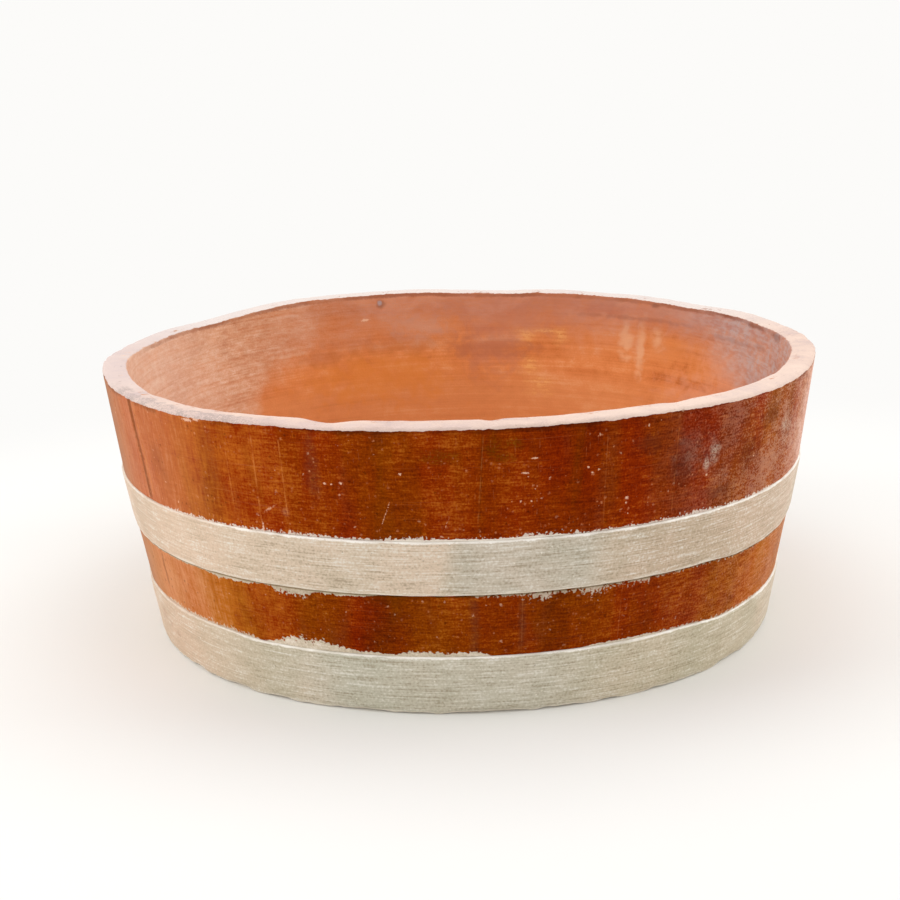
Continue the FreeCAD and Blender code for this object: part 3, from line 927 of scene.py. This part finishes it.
silver = lay(tree, silver, (174, 170, 130), part_way(tree, here, 40, 12, 18), on_lower, 0.22)
lightness = gather(tree, 0.5, [(wide_strokes, 0.3), (fine_strokes, 1.2), (crumbs, 1.0), (blotches, 0.35)])
stroke_depth = ramp(tree, painted_light_ends, 0, 1, 0.6, 0.3)
silver = lay(tree, silver, (140, 122, 96), ramp(tree, lightness, 0.52, 0.1), stroke_depth)
silver = lay(tree, silver, (232, 228, 218), ramp(tree, lightness, 0.5, 0.9, 0, 0.7))
silver = lay(tree, silver, (244, 238, 224), scatter(tree, 220, 0.12, 0.3), 0.65)
silver = lay(tree, silver, (112, 92, 66), scatter(tree, 240, 0.12, 0.3), 0.45)

# Painted highlight along the top edge, where the rounded ledge catches the light from above
highlight_wander = gather(tree, 0, [(grain(tree, 90, 90, 3), 0.004), (crumbs, 0.003)])
highlight_wander = calc(tree, "ADD", below_top, highlight_wander)
silver = lay(tree, silver, (248, 243, 234), ramp(tree, highlight_wander, 0.0026, 0.0010),
             ramp(tree, blotches, 0.3, 0.6, 0.5, 1), ramp(tree, left_end, 0.2, 0.9, 1, 0.35))

# Knocks near the foot, where the brown shows through, and the pale chipped edge along the ground
foot_knocks = [(-64, 0.036, 0.007, 0.005), (-61, 0.03, 0.004, 0.003), (-58, 0.025, 0.005, 0.002),
               (-66, 0.026, 0.003, 0.003)]
silver = lay(tree, silver, (168, 112, 84), marks(tree, here, ragged, 0.5, foot_knocks),
             ramp(tree, crumbs, 0.4, 0.6), 0.6)
foot_wear = calc(tree, "ADD", above_foot, gather(tree, 0, [(blotches, 0.008), (crumbs, 0.006)]))
silver = lay(tree, silver, (234, 224, 208), ramp(tree, foot_wear, 0.0025, 0.0005, 0, 0.75))
feed(tree, shader.inputs["Base Color"], silver)
shader.inputs["Metallic"].default_value = 0.1
feed(tree, shader.inputs["Roughness"], gather(tree, 0.5, [(wide_strokes, 0.2), (tones, 0.2)]))
shader.inputs["Specular IOR Level"].default_value = 0.3
bump = add(tree, "Bump", {"Height": lightness, "Distance": 0.0003, "Strength": 0.6})
feed(tree, shader.inputs["Normal"], bump.outputs[0])

# Floor: a slab of concrete poured inside the wall, on the ledge at its foot, trowelled to fall to the drain.
# A mortar cove seals it to the wall. Both took the stain, and hold dust and old watering marks.
slab_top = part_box("floor_slab")[1].z
slab_edge = wall_inside(slab_top)
drain_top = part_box("drain_sleeve")[1].z
sleeve_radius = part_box("drain_sleeve")[1].x
slab_rows = 60
cove_leg = 0.018
cove_steps = 10

slab = draw("floor_poured", [
    (sleeve_radius, ledge_height),
    (ledge_outside, ledge_height),
    (slab_edge, slab_top),
    (sleeve_radius, drain_top),
])
divide(slab, slab_rows, lambda x, y, z: z > drain_top - tiny)
turn(slab, full_turn_steps)
x, y, z = places(slab)
radius = np.hypot(x, y)
open_floor = rise(radius, sleeve_radius, 0.01) * rise(slab_edge - cove_leg - radius, 0, 0.02)
weigh(slab, "trowelled", open_floor * (z > drain_top - tiny))
swell(slab)
roughen(slab, "trowelled", 0.07, 0.0014)
bpy.ops.object.shade_smooth_by_angle(angle=smooth_angle)
note_place(slab)
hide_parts("floor_slab")
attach(slab, "root")

cove_corner = np.array((slab_edge, slab_top))
up_wall = np.array((wall_inside(slab_top + cove_leg), slab_top + cove_leg)) - cove_corner
fall = (slab_top - drain_top) / (cove_corner[0] - sleeve_radius)
along_floor = np.array((-cove_leg, -cove_leg * fall))
quarter = np.linspace(0, math.pi / 2, cove_steps)
hollow = [tuple(cove_corner + up_wall * (1 - math.sin(a)) + along_floor * (1 - math.cos(a))) for a in quarter]
cove = draw("corner_cove", [tuple(cove_corner)] + hollow)
turn(cove, full_turn_steps)
x, y, z = places(cove)
to_wall = wall_inside(z) - np.hypot(x, y)
weigh(cove, "trowelled", rise(to_wall, 0, 0.004) * rise(z, slab_top, 0.004))
swell(cove)
roughen(cove, "trowelled", 0.03, 0.0016)
bpy.ops.object.shade_smooth_by_angle(angle=smooth_angle)
note_place(cove)
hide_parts("corner_fillet")
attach(cove, "root")

# Stain on the floor, in the arcs that the trowel left, with settled dust and a dark tide round the drain
tree, shader = new_material("floor_concrete", slab, cove)
here = use(tree, tub_place)
broad = grain(tree, 5, 5, 3)
clouds = grain(tree, 22, 22, 4, 0.6)
patches = grain(tree, 80, 80, 3)
crumbs = grain(tree, 480, 480, 3)
place = add(tree, "TexCoord").outputs["Object"]
from_middle = add(tree, "VectorMath", {0: place}, operation="NORMALIZE").outputs[0]
way = add(tree, "SeparateXYZ", {0: from_middle}).outputs
to_middle = add(tree, "VectorMath", {0: place}, operation="LENGTH").outputs["Value"]
spiral = add(tree, "CombineXYZ", {0: times(tree, to_middle, 150), 1: times(tree, way[0], 3),
                                  2: times(tree, way[1], 3)}).outputs[0]
arcs = add(tree, "TexNoise", {"Vector": spiral, "Scale": 1, "Detail": 3}).outputs[0]
floor_stain = shades(tree, gather(tree, 0.5, [(broad, 0.8), (clouds, 0.5), (patches, 0.3), (arcs, 0.9)]),
                     (0.1, 166, 84, 44), (0.5, 206, 120, 70), (0.9, 228, 160, 112))
settled = gather(tree, 0.5, [(broad, 0.6), (clouds, 0.6), (patches, 0.3), (crumbs, 0.6), (arcs, 0.5)])
floor_stain = lay(tree, floor_stain, (214, 176, 150), ramp(tree, settled, 0.25, 0.8, 0.1, 0.6))
tide = calc(tree, "ADD", to_middle, gather(tree, 0, [(clouds, 0.08)]))
floor_stain = lay(tree, floor_stain, (128, 92, 70), ramp(tree, tide, 0.13, 0.05, 0, 0.6))
floor_stain = lay(tree, floor_stain, (120, 84, 62), scatter(tree, 120, 0.2, 0.3), 0.6)
floor_stain = lay(tree, floor_stain, (238, 208, 184), scatter(tree, 90, 0.15, 0.26), 0.7)
underside = ramp(tree, here["Height"], ledge_height + 0.004, ledge_height + 0.002)
feed(tree, shader.inputs["Base Color"], mix(tree, underside, floor_stain, raw_cement(tree, clouds, crumbs)))
feed(tree, shader.inputs["Roughness"], gather(tree, 0.8, [(clouds, 0.3)]))
shader.inputs["Specular IOR Level"].default_value = 0.1
height = gather(tree, 0.5, [(patches, 0.6), (crumbs, 0.6), (arcs, 0.6)])
bump = add(tree, "Bump", {"Height": height, "Distance": 0.0006, "Strength": 0.5})
feed(tree, shader.inputs["Normal"], bump.outputs[0])

# Drain sleeve: a stub of grey plastic pipe set in the floor when it was poured, cut flush with both faces.
# Its sawn ends are slightly rounded, and soil has marked its bore.
sleeve_wall = 0.002
sleeve_bore = sleeve_radius - sleeve_wall
sleeve_rounding = 0.0005
sleeve_turn_steps = 120
sleeve_rows = 8
sleeve = draw("drain_pipe", [
    (sleeve_bore, ledge_height),
    (sleeve_radius, ledge_height),
    (sleeve_radius, drain_top),
    (sleeve_bore, drain_top),
])
round_off(sleeve, sleeve_rounding, 3, lambda x, y, z: x < sleeve_radius - tiny)
divide(sleeve, sleeve_rows, lambda x, y, z: x < sleeve_bore + tiny)
turn(sleeve, sleeve_turn_steps)
bpy.ops.object.shade_smooth_by_angle(angle=smooth_angle)
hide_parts("drain_sleeve")
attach(sleeve, "root")

tree, shader = new_material("drain_plastic", sleeve)
clouds = grain(tree, 60, 40, 3)
scuffs = grain(tree, 500, 40, 2)
plastic = shades(tree, gather(tree, 0.5, [(clouds, 0.9), (scuffs, 0.5)]),
                 (0.1, 98, 98, 96), (0.9, 140, 140, 136))
soil = ramp(tree, gather(tree, 0.5, [(clouds, 1.2), (scuffs, 0.6)]), 0.48, 0.7, 0, 0.8)
feed(tree, shader.inputs["Base Color"], lay(tree, plastic, (112, 80, 58), soil))
feed(tree, shader.inputs["Roughness"], gather(tree, 0.5, [(scuffs, 0.3)]))
bump = add(tree, "Bump", {"Height": scuffs, "Distance": 0.0002, "Strength": 0.4})
feed(tree, shader.inputs["Normal"], bump.outputs[0])

# Cage: rings, uprights and floor grid of drawn steel wire, cast into the concrete and out of sight.
# The wire is plain, with a light bloom of rust.
cage_nodes = ["rim_ring", "waist_ring", "foot_ring", "upright_wires", "floor_wires_lower",
              "floor_wires_upper"]
tree, shader = new_material("steel_wire", *(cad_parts[node] for node in cage_nodes))
drawn = grain(tree, 300, 300, 3)
bloom = ramp(tree, grain(tree, 70, 70, 4, 0.5), 0.45, 0.62)
bare_steel = shades(tree, drawn, (0.2, 118, 114, 108), (0.8, 158, 154, 148))
feed(tree, shader.inputs["Base Color"], lay(tree, bare_steel, (128, 74, 44), bloom, 0.8))
feed(tree, shader.inputs["Metallic"], ramp(tree, bloom, 0, 1, 1, 0.1))
feed(tree, shader.inputs["Roughness"], ramp(tree, bloom, 0, 1, 0.4, 0.85))

# Studio: a pale floor in a white surround, with broad soft lamps above and to both sides.
# Away from the tub the camera sees plain white, and near it the floor, with the tub's shadow.
white = tint(252, 251, 249)
pale_grey = tint(238, 237, 234)
surround_strength = 0.82
bpy.ops.object.select_all(action="DESELECT")
bpy.ops.mesh.primitive_plane_add(size=60)
floor = bpy.context.object
floor.name = "studio_floor"


def in_view(tree):
    """One for rays that the camera sees, straight or in a reflection."""
    seen = add(tree, "LightPath").outputs
    return any_of(tree, [seen["Is Camera Ray"], seen["Is Glossy Ray"], seen["Is Transmission Ray"]])


tree, shader = new_material("studio_floor", floor)
shader.inputs["Base Color"].default_value = pale_grey
shader.inputs["Roughness"].default_value = 0.9
shader.inputs["Specular IOR Level"].default_value = 0.0
place = add(tree, "TexCoord").outputs["Object"]
away = add(tree, "VectorMath", {0: place}, operation="LENGTH").outputs["Value"]
glow = add(tree, "Emission", {"Color": white, "Strength": 1.0})
beyond = calc(tree, "MULTIPLY", ramp(tree, away, 0.5, 1.1), in_view(tree))
both = add(tree, "MixShader", {0: beyond, 1: shader.outputs[0], 2: glow.outputs[0]})
feed(tree, tree.nodes["Material Output"].inputs["Surface"], both.outputs[0])

world = bpy.data.worlds.new("studio")
bpy.context.scene.world = world
world.use_nodes = True
tree = world.node_tree
surround = tree.nodes["Background"]
surround.inputs["Color"].default_value = (1, 1, 1, 1)
surround.inputs["Strength"].default_value = surround_strength
backdrop = add(tree, "Background", {"Color": white, "Strength": 1.0})
both = add(tree, "MixShader", {0: in_view(tree), 1: surround.outputs[0], 2: backdrop.outputs[0]})
feed(tree, tree.nodes["World Output"].inputs["Surface"], both.outputs[0])


def soft_lamp(name, place, size, power):
    """A broad square lamp that faces the tub."""
    lamp_data = bpy.data.lights.new(name, "AREA")
    lamp_data.size = size
    lamp_data.energy = power
    lamp = bpy.data.objects.new(name, lamp_data)
    bpy.context.scene.collection.objects.link(lamp)
    lamp.location = place
    lamp.rotation_euler = lamp.location.to_track_quat("Z", "Y").to_euler()


soft_lamp("overhead", (0, 0.2, 2.6), 2.4, 18)
soft_lamp("left_side", (-2.3, -0.5, 1.3), 1.6, 22)
soft_lamp("right_side", (2.3, 0.1, 1.3), 1.6, 18)

# Camera: in front and a little above, looking down into the tub. Turns are in radians
camera_place = (0, -1.57404, 0.56752)
camera_lens = 64
camera_swing = 0.0069
camera_downward = 0.25792
camera_roll = -0.0266
camera_data = bpy.data.cameras.new("portrait")
camera_data.lens = camera_lens
camera = bpy.data.objects.new("portrait", camera_data)
bpy.context.scene.collection.objects.link(camera)
camera.matrix_world = (Matrix.Translation(camera_place) @ Matrix.Rotation(camera_swing, 4, "Z")
                       @ Matrix.Rotation(math.pi / 2 - camera_downward, 4, "X")
                       @ Matrix.Rotation(camera_roll, 4, "Z"))
bpy.context.scene.camera = camera
bpy.context.scene.view_settings.view_transform = "Standard"
